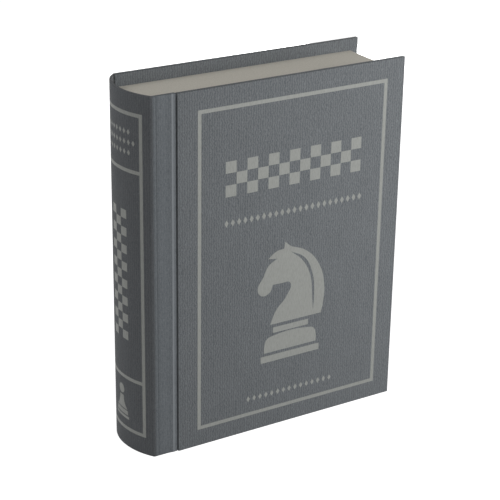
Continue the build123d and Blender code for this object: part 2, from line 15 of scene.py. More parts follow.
import bmesh
import bpy
from mathutils import Matrix, Vector
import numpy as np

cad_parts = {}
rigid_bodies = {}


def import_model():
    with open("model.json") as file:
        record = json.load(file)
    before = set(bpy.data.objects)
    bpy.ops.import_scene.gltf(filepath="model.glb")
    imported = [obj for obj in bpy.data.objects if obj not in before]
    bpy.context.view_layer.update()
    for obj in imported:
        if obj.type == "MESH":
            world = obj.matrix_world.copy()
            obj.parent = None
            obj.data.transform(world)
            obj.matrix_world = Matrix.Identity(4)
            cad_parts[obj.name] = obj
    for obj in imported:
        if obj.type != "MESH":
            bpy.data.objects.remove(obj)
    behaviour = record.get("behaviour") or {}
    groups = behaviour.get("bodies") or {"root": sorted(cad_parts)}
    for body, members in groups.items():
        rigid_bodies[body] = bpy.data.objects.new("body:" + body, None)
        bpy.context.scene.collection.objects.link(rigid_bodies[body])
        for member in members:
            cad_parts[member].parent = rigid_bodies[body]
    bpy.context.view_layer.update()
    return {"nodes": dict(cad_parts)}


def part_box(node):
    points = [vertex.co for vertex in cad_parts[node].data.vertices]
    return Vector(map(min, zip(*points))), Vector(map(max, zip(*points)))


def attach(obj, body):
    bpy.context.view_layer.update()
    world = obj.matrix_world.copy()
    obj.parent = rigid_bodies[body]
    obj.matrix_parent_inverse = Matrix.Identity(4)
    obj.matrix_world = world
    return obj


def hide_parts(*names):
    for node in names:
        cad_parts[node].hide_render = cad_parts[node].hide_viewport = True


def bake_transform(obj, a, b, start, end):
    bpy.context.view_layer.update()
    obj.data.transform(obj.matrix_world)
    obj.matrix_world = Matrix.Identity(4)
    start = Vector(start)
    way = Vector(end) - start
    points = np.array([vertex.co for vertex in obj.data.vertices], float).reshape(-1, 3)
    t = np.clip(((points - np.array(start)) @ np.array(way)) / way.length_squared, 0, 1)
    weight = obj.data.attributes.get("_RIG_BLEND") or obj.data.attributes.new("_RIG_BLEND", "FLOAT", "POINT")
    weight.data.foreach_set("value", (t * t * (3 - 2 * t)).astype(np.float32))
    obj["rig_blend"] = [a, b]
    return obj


for thing in list(bpy.data.objects):
    bpy.data.objects.remove(thing)
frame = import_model()
MM = 0.001

# %% [markdown]
# ## Where the boards and the box lie
#
# Sizes of the case are read from the frame and not typed in again. A few sizes that a box around a solid
# can't tell, such as how far the spine bulges, are written here once.
#
# Seen from above, the spine is two arcs that meet where it bulges most. The near one ends at the shoulder's
# corner. The far one is a little tighter and runs straight into the edge of the back cover. It goes a hair
# into it, so that no light shines through the joint.

# %% Places taken from the frame
FRONT_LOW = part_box("front_cloth")[0]
BACK_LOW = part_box("back_cloth")[0]
SPINE_LOW, SPINE_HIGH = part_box("spine_cloth")
HEIGHT = SPINE_HIGH.z
SPINE_BULGE = 10.0 * MM
SPINE_THICKNESS = 1.95 * MM
SPINE_CORNER_RADIUS = 2.2 * MM
TURN_IN = 15.0 * MM
CLOTH = 0.3 * MM

SPINE_X = SPINE_LOW.x + SPINE_BULGE
SHOULDER_Y = SPINE_LOW.y
BACK_Y = SPINE_HIGH.y
GROOVE_X = SPINE_HIGH.x
SPINE_MIDDLE_Y = (SHOULDER_Y + BACK_Y) / 2
HALF_CHORD = (BACK_Y - SHOULDER_Y) / 2
BACK_PRESS = 0.03 * MM
BACK_END_X = BACK_LOW.x + BACK_PRESS


def arc_radius(bulge):
    """The radius of an arc that bulges that far over the half chord."""
    return (HALF_CHORD**2 + bulge**2) / (2 * bulge)


NEAR_RADIUS = arc_radius(SPINE_BULGE)
FAR_RADIUS = arc_radius(BACK_END_X - SPINE_LOW.x)


def spine_arc(y):
    """The spine's arc at that depth: its centre's x and its radius."""
    radius = FAR_RADIUS if y > SPINE_MIDDLE_Y else NEAR_RADIUS
    return SPINE_LOW.x + radius, radius


print("height of the case:", round(HEIGHT / MM, 1), "mm")
print("radii of the spine's arcs:", round(NEAR_RADIUS / MM, 1), "and", round(FAR_RADIUS / MM, 1), "mm")

# %% [markdown]
# ## The camera
#
# A long lens far away keeps the upright edges nearly parallel, as in a catalogue picture. The camera looks
# down a little and from the spine's side. Three turns make its direction: first tilt it up from straight
# down, then swing it round the upright axis, and last lean it by under a degree about its own line of sight.

# %% Camera
scene = bpy.context.scene
scene.view_settings.view_transform = "Standard"

CAMERA_PLACE = Vector((-0.552445, -0.892952, 0.570972))
CAMERA_SWING = math.radians(31.6816)
CAMERA_DOWN = math.radians(22.8213)
CAMERA_LEAN = math.radians(0.8813)
LENS_IN_MM = 113.33
SENSOR_IN_MM = 36.0

camera_data = bpy.data.cameras.new("camera")
camera_data.lens = LENS_IN_MM
camera_data.sensor_width = SENSOR_IN_MM
camera = bpy.data.objects.new("camera", camera_data)
scene.collection.objects.link(camera)
camera_turn = Matrix.Rotation(-CAMERA_SWING, 4, "Z")
camera_turn = camera_turn @ Matrix.Rotation(math.pi / 2 - CAMERA_DOWN, 4, "X")
camera_turn = camera_turn @ Matrix.Rotation(CAMERA_LEAN, 4, "Z")
camera.matrix_world = Matrix.Translation(CAMERA_PLACE) @ camera_turn
scene.camera = camera
print("the camera is", round(CAMERA_PLACE.length, 2), "m from the foot of the case")

# %% [markdown]
# ## Small helpers for node trees
#
# Materials here are node trees. `add_node` makes one node and fills its inputs: a number or colour is
# typed into the socket, and the output of another node is linked to it. That keeps each material short
# enough to read from top to bottom.

# %% Node helpers
def add_node(tree, kind, inputs=None, **settings):
    """Make a node. Inputs, by name or by number, are values, or outputs of other nodes to link."""
    node = tree.nodes.new(kind)
    for name, value in settings.items():
        setattr(node, name, value)
    for name, value in (inputs or {}).items():
        if isinstance(value, bpy.types.NodeSocket):
            tree.links.new(value, node.inputs[name])
        else:
            node.inputs[name].default_value = value
    return node


def linear(red, green, blue):
    """A colour given as it is seen on a screen, 0 to 255, as Blender's linear light."""
    def channel(value):
        share = value / 255
        if share <= 0.04045:
            return share / 12.92
        return ((share + 0.055) / 1.055) ** 2.4
    return (channel(red), channel(green), channel(blue), 1.0)


def new_material(name, inputs):
    """A material with one Principled shader. Returns the material, its tree and the shader."""
    material = bpy.data.materials.new(name)
    material.use_nodes = True
    tree = material.node_tree
    shader = tree.nodes["Principled BSDF"]
    for label, value in inputs.items():
        shader.inputs[label].default_value = value
    return material, tree, shader


def noise(tree, vector, stretch, detail=2.0, roughness=0.5):
    """Noise with its own stretch along each direction, in blobs per metre."""
    mapping = add_node(tree, "ShaderNodeMapping", {"Vector": vector, "Scale": stretch})
    inputs = {"Vector": mapping.outputs[0], "Scale": 1.0, "Detail": detail, "Roughness": roughness}
    return add_node(tree, "ShaderNodeTexNoise", inputs).outputs["Fac"]


def ramp(tree, fac, *stops):
    """A colour ramp. Each stop is a position and a colour."""
    node = add_node(tree, "ShaderNodeValToRGB", {"Fac": fac})
    elements = node.color_ramp.elements
    while len(elements) < len(stops):
        elements.new(0.5)
    for element, (position, colour) in zip(elements, stops):
        element.position = position
        element.color = colour
    return node.outputs["Color"]


def blend_colours(tree, fac, first, second, kind="MIX"):
    inputs = {"Fac": fac, "Color1": first, "Color2": second}
    return add_node(tree, "ShaderNodeMixRGB", inputs, blend_type=kind).outputs["Color"]


def calculate(tree, operation, first, second):
    return add_node(tree, "ShaderNodeMath", {0: first, 1: second}, operation=operation).outputs[0]


def add_bump(tree, shader, height, depth, strength):
    """Raise the surface by a pattern, up to that depth in metres."""
    bump = add_node(tree, "ShaderNodeBump", {"Height": height, "Strength": strength, "Distance": depth})
    tree.links.new(bump.outputs["Normal"], shader.inputs["Normal"])


# %% [markdown]
# ## Light, floor and background
#
# The object stands on a white floor in front of a white background. If lamps made that white, they would
# wash out the grey cloth. Instead the floor and the world ask a Light Path node what kind of ray has
# arrived. A camera ray, and one that a mirror or a glass sends on, sees white. All other rays see the
# plain grey that lights the object. The floor adds a little of its own lit surface to the white, so a soft
# shadow still shows at the foot.
#
# The main lamp stands low on the right, which makes the front cover brighter than the head. A weaker one
# on the left reaches the spine, one from above the head, and one behind the case lights the back cover.

# %% World and floor
def seen_directly(tree):
    """1 for rays from the camera, a mirror or a glass, and 0 for light on its way to the object."""
    path = add_node(tree, "ShaderNodeLightPath")
    direct = calculate(tree, "MAXIMUM", path.outputs["Is Camera Ray"], path.outputs["Is Glossy Ray"])
    return calculate(tree, "MAXIMUM", direct, path.outputs["Is Transmission Ray"])


def mix_shaders(tree, fac, first, second):
    inputs = {0: fac, 1: first.outputs[0], 2: second.outputs[0]}
    return add_node(tree, "ShaderNodeMixShader", inputs).outputs[0]


WHITE = (1.0, 1.0, 1.0, 1.0)
WORLD_LIGHT = 0.24
FLOOR_GREY = (0.42, 0.42, 0.42, 1.0)
FLOOR_GLOW = 0.93
FLOOR_SIZE = 6.0
FLOOR_DROP = 0.1 * MM

world = bpy.data.worlds.new("studio")
world.use_nodes = True
world_tree = world.node_tree
world_tree.nodes.clear()
soft_light = add_node(world_tree, "ShaderNodeBackground", {"Color": WHITE, "Strength": WORLD_LIGHT})
white_wall = add_node(world_tree, "ShaderNodeBackground", {"Color": WHITE, "Strength": 1.0})
world_mix = mix_shaders(world_tree, seen_directly(world_tree), soft_light, white_wall)
add_node(world_tree, "ShaderNodeOutputWorld", {"Surface": world_mix})
scene.world = world

floor_material, floor_tree, floor_shader = new_material("white floor", {})
floor_tree.nodes.remove(floor_shader)
plain = add_node(floor_tree, "ShaderNodeBsdfDiffuse", {"Color": FLOOR_GREY})
glow = add_node(floor_tree, "ShaderNodeEmission", {"Color": WHITE, "Strength": FLOOR_GLOW})
glow_and_shade = add_node(floor_tree, "ShaderNodeAddShader", {0: plain.outputs[0], 1: glow.outputs[0]})
floor_mix = mix_shaders(floor_tree, seen_directly(floor_tree), plain, glow_and_shade)
floor_tree.links.new(floor_mix, floor_tree.nodes["Material Output"].inputs["Surface"])

floor_bm = bmesh.new()
bmesh.ops.create_grid(floor_bm, x_segments=1, y_segments=1, size=FLOOR_SIZE)
bmesh.ops.translate(floor_bm, vec=(0, 0, -FLOOR_DROP), verts=floor_bm.verts)
floor_mesh = bpy.data.meshes.new("floor")
floor_bm.to_mesh(floor_mesh)
floor_mesh.materials.append(floor_material)
floor = bpy.data.objects.new("floor", floor_mesh)
scene.collection.objects.link(floor)
print("light of the world:", WORLD_LIGHT, "and glow of the floor:", FLOOR_GLOW)

# %% Lamps
def add_lamp(name, place, aim, size, power):
    """A square soft lamp that points at a place."""
    data = bpy.data.lights.new(name, "AREA")
    data.size = size
    data.energy = power
    lamp = bpy.data.objects.new(name, data)
    scene.collection.objects.link(lamp)
    turn = (Vector(aim) - Vector(place)).to_track_quat("-Z", "Y").to_matrix().to_4x4()
    lamp.matrix_world = Matrix.Translation(place) @ turn
    print(name, "gives", power, "W")


MIDDLE = Vector((0, 0, HEIGHT / 2))
HEAD = Vector((0, 0, HEIGHT))
add_lamp("main lamp", (0.70, -0.75, 0.40), aim=MIDDLE, size=0.45, power=6.5)
add_lamp("spine lamp", (-0.95, 0.28, 1.05), aim=MIDDLE, size=0.50, power=3.4)
add_lamp("top lamp", (0.25, -0.66, 1.10), aim=HEAD, size=0.50, power=3.0)
add_lamp("back lamp", (0.60, 0.85, 0.13), aim=MIDDLE, size=0.25, power=3.4)

# %% [markdown]
# ## From a mesh under construction to a piece
#
# Each piece is built in a bmesh with Blender's own operators, in the place where it belongs. `add_piece`
# then makes the object, hangs it on the part of the case it moves with, and hides the solids it stands for.

# %% Piece helpers
def new_box(low, high):
    """A bmesh box between two corners."""
    bm = bmesh.new()
    bmesh.ops.create_cube(bm, size=1.0)
    bmesh.ops.scale(bm, vec=high - low, verts=bm.verts)
    bmesh.ops.translate(bm, vec=(low + high) / 2, verts=bm.verts)
    return bm


def round_edges(bm, edges, width, segments):
    bmesh.ops.bevel(
        bm, geom=edges, offset=width, segments=segments, profile=0.5, affect="EDGES", material=-1
    )


def add_piece(name, bm, materials, body=None, replaces=()):
    """Turn a bmesh into a piece that rides on a body. Leave body out for a piece that will bend."""
    mesh = bpy.data.meshes.new(name)
    bm.to_mesh(mesh)
    bm.free()
    for material in materials:
        mesh.materials.append(material)
    piece = bpy.data.objects.new(name, mesh)
    scene.collection.objects.link(piece)
    if body:
        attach(piece, body)
    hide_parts(*replaces)
    print(name, "has", len(mesh.polygons), "faces")
    return piece


def give_thickness(piece, thickness, inwards=True):
    """Wrapped cloth goes inwards from the modelled surface, and a bending strip to both sides of it."""
    solidify = piece.modifiers.new("thickness", "SOLIDIFY")
    solidify.thickness = thickness
    solidify.offset = -1.0 if inwards else 0.0
    solidify.use_even_offset = inwards


def smooth_curves(piece, sharp_degrees=35):
    """Shade round stretches smooth and keep creases sharper than that angle."""
    mesh = piece.data
    mesh.shade_smooth()
    mesh.set_sharp_from_angle(angle=math.radians(sharp_degrees))


# %% [markdown]
# ## Book cloth
#
# The covers are wrapped in a grey book cloth with upright slubs: fine threads that swell and thin over some
# millimetres. A pattern in plain Object coordinates would smear where the cloth turns round an edge. So we
# unroll each wrapped face onto a UV map called "grain", in metres, with v always up the book. Round the
# spine, u is the length along the curve. Then one function makes the cloth of every wrapped piece. The
# shoulder, the spine and the groove only have tones and ribs of their own.

# %% Unrolling the cloth
FACES_UP = 0.7
ON_A_RIM = 0.5


def unrolled(place, normal, round_spine):
    """Where a point of the wrapped surface lies on the flat cloth."""
    if abs(normal.z) > FACES_UP:
        return place.x, place.y
    if round_spine:
        centre_x, radius = spine_arc(place.y)
        angle = math.atan2(SPINE_MIDDLE_Y - place.y, centre_x - place.x)
        return angle * radius, place.z
    if abs(normal.y) > abs(normal.x):
        return place.x, place.z
    return place.y, place.z


def on_the_spine(place):
    """Whether a point of the cloth lies on one of the spine's arcs."""
    arc_end = BACK_LOW.x if place.y > SPINE_MIDDLE_Y else SPINE_X + SPINE_CORNER_RADIUS / 2
    return place.x < arc_end


def lay_grain(bm):
    """Write the map, and mark the faces on head and tail rims, where shade is painted on the cloth."""
    layer = bm.loops.layers.uv.new("grain")
    rim = bm.faces.layers.float.new("rim")
    bm.normal_update()
    for face in bm.faces:
        round_spine = on_the_spine(face.calc_center_median())
        # Painted shade on the head and tail rims, the faces that point up or down.
        face[rim] = 1.0 if abs(face.normal.z) > ON_A_RIM else 0.0
        for loop in face.loops:
            loop[layer].uv = unrolled(loop.vert.co, face.normal, round_spine)


# %% The cloth's material
def wave(tree, vector, direction, scale, distortion, detail, detail_scale):
    """Parallel bands across X or Y. The distortion makes them wavy."""
    inputs = {"Vector": vector, "Scale": scale, "Distortion": distortion}
    inputs |= {"Detail": detail, "Detail Scale": detail_scale}
    return add_node(tree, "ShaderNodeTexWave", inputs, bands_direction=direction).outputs["Fac"]


def swing(tree, pattern, strength):
    """A pattern of 0 to 1 made to swing about zero, as strongly as asked."""
    return calculate(tree, "MULTIPLY", calculate(tree, "SUBTRACT", pattern, 0.5), strength)


def book_cloth(name, dark, light, streaks, slubs_per_metre=480, ribbed=0.27, crinkle=6.4):
    """Woven cloth. Streaks and ribbed set how far slubs and ribs show, crinkle how wavy the ribs are."""
    material, tree, shader = new_material(name, {
        "Roughness": 0.86, "Specular IOR Level": 0.28, "Sheen Weight": 0.10, "Sheen Roughness": 0.45,
    })
    grain = add_node(tree, "ShaderNodeUVMap", uv_map="grain").outputs[0]
    slub = noise(tree, grain, (1050, slubs_per_metre, 1), 2.0, 0.7)
    thread = noise(tree, grain, (2600, 800, 1), 2.0, 0.6)
    weft = noise(tree, grain, (240, 2900, 1), 2.0, 0.6)
    cloud = noise(tree, grain, (60, 40, 1), 2.0)
    ribs = swing(tree, wave(tree, grain, "X", 165.0, crinkle, 2.0, 2.2), ribbed)
    slubs = swing(tree, slub, 0.5 * streaks)
    threads = swing(tree, thread, 0.6)
    across = swing(tree, weft, 0.4)
    wide = swing(tree, cloud, 0.14)
    upright = calculate(tree, "ADD", calculate(tree, "ADD", slubs, ribs), threads)
    total = calculate(tree, "ADD", calculate(tree, "ADD", upright, across), wide)
    level = calculate(tree, "ADD", total, 0.5)
    woven = ramp(tree, level, (0.1, dark), (0.9, light))
    # Painted highlight: paler cloth along the shoulder's bead, where the mesh marks it.
    wear_and_highlight = add_node(tree, "ShaderNodeAttribute", attribute_name="bead_highlight").outputs["Fac"]
    highlighted = blend_colours(tree, wear_and_highlight, woven, BEAD_HIGHLIGHT)
    # Painted shade: darker cloth where the mesh marks it, on head and tail rims and in the spine's joint,
    # fold and crease.
    rim = add_node(tree, "ShaderNodeAttribute", attribute_name="rim").outputs["Fac"]
    colour = blend_colours(tree, rim, highlighted, RIM_SHADE, "MULTIPLY")
    tree.links.new(colour, shader.inputs["Base Color"])
    warp_wave = wave(tree, grain, "X", 380.0, 0.6, 1.0, 2.0)
    weft_wave = wave(tree, grain, "Y", 380.0, 0.6, 1.0, 2.0)
    weave = calculate(tree, "MULTIPLY", warp_wave, weft_wave)
    relief = calculate(tree, "ADD", weave, calculate(tree, "MULTIPLY", upright, 1.5))
    add_bump(tree, shader, relief, 0.07 * MM, 0.8)
    return material


# The colour of the painted highlight along the bead, and the factor of the painted shade.
BEAD_HIGHLIGHT = linear(150, 154, 158)
RIM_SHADE = (0.5, 0.5, 0.5, 1.0)
cover_cloth = book_cloth("book cloth", linear(78, 82, 85), linear(133, 137, 140), streaks=0.9)
shoulder_cloth = book_cloth(
    "shoulder cloth", linear(76, 81, 85), linear(128, 133, 137),
    streaks=1.2, slubs_per_metre=260, ribbed=0.08, crinkle=4.6,
)
spine_cloth = book_cloth(
    "spine cloth", linear(78, 81, 84), linear(121, 124, 127),
    streaks=0.7, slubs_per_metre=210, ribbed=0.16, crinkle=4.6,
)
hinge_cloth = book_cloth("hinge cloth", linear(96, 100, 103), linear(152, 156, 159), streaks=0.9)
for cloth in (cover_cloth, shoulder_cloth, spine_cloth, hinge_cloth):
    print(cloth.name, "has", len(cloth.node_tree.nodes), "nodes")

# %% [markdown]
# ## Wrapping the two covers
#
# A cover is a stiff board with cloth glued over its face, folded round its edges and glued down inside as a
# turn-in 15 mm wide. At each corner the folded flaps meet in a mitre, which shows as a fine diagonal seam.
# A flat sheet could be folded over flap by flap, but its corners would have to be fitted by hand. An inset
# mitres them by itself. So we start from a box, round its edges, inset the inner face to get four flaps,
# raise each flap a hair to open the seams, and delete the window in the middle, where the lining shows. A
# Solidify modifier then gives the cloth its thickness.

# %% Wrapped covers
EDGE_ROUND = 0.5 * MM
SEAM = 0.16 * MM
FLAP_RISE = 0.05 * MM
WINDOW_GAP = 0.2 * MM


def wrap_cover(name, cloth_node, lining_node, inward, body):
    low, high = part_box(cloth_node)
    bm = new_box(low, high)
    round_edges(bm, bm.edges[:], EDGE_ROUND, 4)
    bm.normal_update()
    window = max(bm.faces, key=lambda face: face.normal.y * inward * face.calc_area())
    flaps = bmesh.ops.inset_region(bm, faces=[window], thickness=TURN_IN - EDGE_ROUND)["faces"]
    lining_low, lining_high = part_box(lining_node)
    left = max(lining_low.x, low.x + EDGE_ROUND + WINDOW_GAP)
    middle = (low + high) / 2
    for vert in window.verts:
        vert.co.x = left if vert.co.x < middle.x else lining_high.x
        vert.co.z = lining_low.z if vert.co.z < middle.z else lining_high.z
    bmesh.ops.inset_individual(bm, faces=flaps, thickness=SEAM / 2, depth=FLAP_RISE)
    bmesh.ops.delete(bm, geom=[window], context="FACES")
    lay_grain(bm)
    piece = add_piece(name, bm, [cover_cloth], body, [cloth_node])
    give_thickness(piece, CLOTH)
    smooth_curves(piece)


wrap_cover("front_cover_cloth", "front_cloth", "front_lining", 1, "front_cover")
wrap_cover("back_cover_cloth", "back_cloth", "back_lining", -1, "case")

# %% [markdown]
# ## Wrapping the spine and the shoulder
#
# One strip of cloth runs from the groove over the flat shoulder, round the small corner and along the two
# arcs of the spine to the edge of the back cover. The shoulder has a raised bead beside the groove and a
# shallow crease near the corner. A bent box would need its curves fitted by eye. Seen from above, though,
# all that is one line. So we draw the line, by extruding a vertex where it is straight and spinning it where
# it is round, and lift it to the book's height.

# %% Drawing a line and lifting it
def new_verts(made):
    """The vertices among what an operator has made."""
    return [item for item in made if isinstance(item, bmesh.types.BMVert)]


def straight_to(bm, vert, place):
    """Draw an edge from a vertex to a place, and return its far end."""
    new = bmesh.ops.extrude_vert_indiv(bm, verts=[vert])["verts"][0]
    new.co = place
    return new


def straight_line(bm, places):
    """Draw edges from place to place, and return the last vertex."""
    line_end = bm.verts.new(places[0])
    for place in places[1:]:
        line_end = straight_to(bm, line_end, place)
    return line_end


def turn_round(bm, vert, centre, angle, steps):
    """Sweep a vertex round an upright axis, which leaves an arc of edges behind it."""
    swept = bmesh.ops.spin(bm, geom=[vert], cent=centre, axis=(0, 0, 1), angle=angle, steps=steps)
    return new_verts(swept["geom_last"])[0]


def lift(bm, height):
    """Raise a line into an upright sheet of that height."""
    made = bmesh.ops.extrude_edge_only(bm, edges=bm.edges[:])["geom"]
    bmesh.ops.translate(bm, vec=(0, 0, height), verts=new_verts(made))


def cut(bm, place, direction):
    """Cut all faces along the plane that goes through a place and faces a direction."""
    everything = bm.verts[:] + bm.edges[:] + bm.faces[:]
    bmesh.ops.bisect_plane(bm, geom=everything, plane_co=place, plane_no=direction)


# %% The line of the spine and the shoulder
BEAD_LINE = [(1.02, 0.12), (0.66, 0.34), (-0.55, 0.50), (-1.40, 0.57), (-2.20, 0.58), (-3.10, 0.46),
             (-4.30, 0.28), (-5.70, 0.12), (-7.10, 0.03), (-8.30, 0.0)]
CREASE_LINE = [(-12.9, 0.0), (-13.5, -0.12), (-13.9, -0.18), (-14.3, -0.10), (-14.8, 0.0)]
FOLD_SHADE = 1.0 * MM
CORNER_STEPS = 6
ARC_STEPS = 20

near_y = HALF_CHORD - SPINE_CORNER_RADIUS
near_reach = NEAR_RADIUS - SPINE_CORNER_RADIUS
near_angle = math.asin(near_y / near_reach)
corner_x = SPINE_LOW.x + NEAR_RADIUS - near_reach * math.cos(near_angle)
far_angle = math.asin(HALF_CHORD / FAR_RADIUS)

spine = bmesh.new()
flat_part = []
for right, proud in BEAD_LINE + CREASE_LINE:
    flat_part.append((GROOVE_X + right * MM, SHOULDER_Y - proud * MM, 0))
flat_part += [(corner_x + FOLD_SHADE, SHOULDER_Y, 0), (corner_x, SHOULDER_Y, 0)]
line_end = straight_line(spine, flat_part)
near_centre = (corner_x, SPINE_MIDDLE_Y - near_y, 0)
line_end = turn_round(spine, line_end, near_centre, near_angle - math.pi / 2, CORNER_STEPS)
arc_centre = (SPINE_LOW.x + NEAR_RADIUS, SPINE_MIDDLE_Y, 0)
line_end = turn_round(spine, line_end, arc_centre, -near_angle, ARC_STEPS)
far_centre = (SPINE_LOW.x + FAR_RADIUS, SPINE_MIDDLE_Y, 0)
turn_round(spine, line_end, far_centre, -far_angle, ARC_STEPS)
print("the spine's line has", len(spine.edges), "edges")

# %% [markdown]
# ### From a sheet to folded cloth
#
# Solidify as a mesh operator makes a slab of the sheet. At its far end the slab touches the back cover only
# near the outer face. Behind that it is cut back, which leaves a dark gap on the inner side, and its head and
# tail drop a little towards the cover. Then its outer edges are rounded, and its inner side is deleted but
# for the turn-ins at head and tail. Where little light reaches the cloth, shade is painted on it, and a
# highlight is painted along the bead: two attributes on the mesh tell the material where.

# %% The slab and its ends
LIP_BACK = 0.80 * MM
JOINT_OPENING = 1.0 * MM
JOINT_TOUCH = 0.9 * MM
JOINT_DROP = 0.5 * MM
JOINT_DROP_REACH = 5.0 * MM

lift(spine, HEIGHT)
bmesh.ops.solidify(spine, geom=spine.faces[:], thickness=SPINE_THICKNESS)
bmesh.ops.recalc_face_normals(spine, faces=spine.faces)
spine.normal_update()

lip_end = flat_part[0][0] - CLOTH
joint_x = BACK_END_X - JOINT_OPENING
touching_y = BACK_Y - JOINT_TOUCH
cut(spine, (0, touching_y, 0), (0, 1, 0))
for vert in spine.verts:
    if vert.co.x > corner_x and SHOULDER_Y + CLOTH < vert.co.y < SPINE_MIDDLE_Y:
        vert.co.y = SHOULDER_Y + (LIP_BACK if vert.co.x > lip_end else SPINE_THICKNESS)
    if vert.co.x > joint_x and SPINE_MIDDLE_Y < vert.co.y < touching_y - CLOTH / 4:
        vert.co.x = joint_x
        vert.co.y = min(vert.co.y, BACK_Y - 2 * JOINT_TOUCH)
    elif vert.co.x > BACK_END_X and vert.co.y > SPINE_MIDDLE_Y:
        vert.co.x = BACK_END_X
    drop = JOINT_DROP * max(0.0, 1.0 - (BACK_Y - vert.co.y) / JOINT_DROP_REACH)
    vert.co.z += drop if vert.co.z < HEIGHT / 2 else -drop
spine.normal_update()
print("the gap behind the joint is", round(JOINT_OPENING / MM, 1), "mm wide")

# %% Rounded rims and turn-ins
SPINE_EDGE_ROUND = 0.4 * MM
SPINE_TURN_IN = 9.0 * MM
LEVEL = 0.9
OUTER_SIDE = 0.3
INNER_SIDE = -0.7


def side(face):
    """How far a face points out of the case: 1 on the side that shows, -1 on the side facing the box."""
    middle = face.calc_center_median()
    outward = Vector((0, -1, 0))
    if middle.x < corner_x or middle.y > SPINE_MIDDLE_Y:
        centre_x = spine_arc(middle.y)[0]
        outward = Vector((middle.x - centre_x, middle.y - SPINE_MIDDLE_Y, 0)).normalized()
    return face.normal.dot(outward)


rims = [
    edge
    for edge in spine.edges
    if any(abs(face.normal.z) > LEVEL for face in edge.link_faces)
    and any(side(face) > OUTER_SIDE for face in edge.link_faces)
]
print("edges on the spine's rims:", len(rims))
round_edges(spine, rims, SPINE_EDGE_ROUND, 3)
for height, up in ((SPINE_TURN_IN, 1), (HEIGHT - SPINE_TURN_IN, -1)):
    cut(spine, (0, 0, height), (0, 0, up))
spine.normal_update()
hidden = []
for face in spine.faces:
    turned_in = not SPINE_TURN_IN < face.calc_center_median().z < HEIGHT - SPINE_TURN_IN
    if side(face) < INNER_SIDE and not turned_in:
        hidden.append(face)
bmesh.ops.delete(spine, geom=hidden, context="FACES")

# %% Painted shade, painted highlight and the finished spine cloth
BEAD_TOP = -2.0 * MM
BEAD_HIGHLIGHT_REACH = 0.8 * MM
CREASE_MIDDLE = -13.9 * MM
CREASE_SHADE = 0.6 * MM
# How much shade is painted at the fold, in the crease and between them.
FOLD_DARKER = 0.35
CREASE_DARKER = 0.60
BETWEEN_DARKER = 0.15

crease_x = GROOVE_X + CREASE_MIDDLE


def darker(place):
    """How much shade is painted on the cloth in the joint, at the fold, in the crease and between these two.
    """
    if place.y > SPINE_MIDDLE_Y:
        return 1.0 if place.x > joint_x else 0.0
    if abs(place.x - corner_x) < FOLD_SHADE:
        return FOLD_DARKER
    if abs(place.x - crease_x) < CREASE_SHADE:
        return CREASE_DARKER
    return BETWEEN_DARKER if corner_x < place.x < crease_x else 0.0


lay_grain(spine)
bead_highlight = spine.verts.layers.float.new("bead_highlight")
# Paint a highlight along the bead beside the groove, strongest at its top and fading out to each side.
for vert in spine.verts:
    if vert.co.y < SHOULDER_Y:
        off_bead = abs(vert.co.x - GROOVE_X - BEAD_TOP)
        vert[bead_highlight] = max(0.0, 1.0 - off_bead / BEAD_HIGHLIGHT_REACH)
# Paint shade in the joint, at the fold, in the crease and between them, on top of the shade painted on head
# and tail rims.
rim = spine.faces.layers.float["rim"]
for face in spine.faces:
    middle = face.calc_center_median()
    face.material_index = 1 if middle.x < corner_x or middle.y > SPINE_MIDDLE_Y else 0
    face[rim] = max(face[rim], darker(middle))
spine_wrap = add_piece(
    "spine_and_shoulder_cloth", spine, [shoulder_cloth, spine_cloth], "case", ["spine_cloth"]
)
give_thickness(spine_wrap, CLOTH)
smooth_curves(spine_wrap)

# %% [markdown]
# ## Cloth in the groove
#
# The front cover hangs on a strip of cloth deep in the groove between shoulder and cover. Little light gets
# there, so its tones are a little lighter than those of the covers. It has to bend when the cover opens, so
# it isn't fixed to one of the two.

# %% Groove strip
HINGE_LOW, HINGE_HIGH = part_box("hinge_cloth")
GROOVE_BEND = 0.3 * MM
GROOVE_FLAP = 0.8 * MM
GROOVE_STEPS = 6
BEND_STEPS = 3

groove_right = FRONT_LOW.x - CLOTH / 4
groove_bottom = (HINGE_LOW.y + HINGE_HIGH.y) / 2
flat_start = GROOVE_X + CLOTH / 2
flat_end = groove_right - GROOVE_BEND
bottom_line = []
for step in range(GROOVE_STEPS + 1):
    x = flat_start + (flat_end - flat_start) * step / GROOVE_STEPS
    bottom_line.append((x, groove_bottom, HINGE_LOW.z))
strip = bmesh.new()
line_end = straight_line(strip, bottom_line)
right_centre = (flat_end, groove_bottom - GROOVE_BEND, HINGE_LOW.z)
line_end = turn_round(strip, line_end, right_centre, -math.pi / 2, BEND_STEPS)
straight_to(strip, line_end, (groove_right, groove_bottom - GROOVE_FLAP, HINGE_LOW.z))
lift(strip, HINGE_HIGH.z - HINGE_LOW.z)
lay_grain(strip)
groove_cloth = add_piece("groove_cloth", strip, [hinge_cloth], None, ["hinge_cloth"])
give_thickness(groove_cloth, CLOTH / 2, inwards=False)
groove_cloth.data.shade_smooth()
middle_z = HEIGHT / 2
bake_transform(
    groove_cloth, "case", "front_cover",
    start=(flat_start, groove_bottom, middle_z), end=(flat_end, groove_bottom, middle_z),
)

# %% [markdown]
# ## The silver print
#
# Frames and figures are stamped on the cloth in a dull silver. They could be part of the cloth's material,
# but stamped foil has a crisp edge and lies a hair proud, so it is made as thin sheets. Each shape is drawn
# flat, u across and v up. A sheet for the front cover is stood up and laid on the cover's face. A sheet for
# the spine is first cut into narrow strips, because a flat face can't bend, and then rolled onto the curve.

# %% Silver print material
def object_place(tree):
    """Where a point of the surface lies, in metres."""
    return add_node(tree, "ShaderNodeTexCoord").outputs["Object"]


def shares(tree, first, first_share, second, second_share):
    """The sum of two patterns, each times its share."""
    first_part = calculate(tree, "MULTIPLY", first, first_share)
    return calculate(tree, "ADD", first_part, calculate(tree, "MULTIPLY", second, second_share))


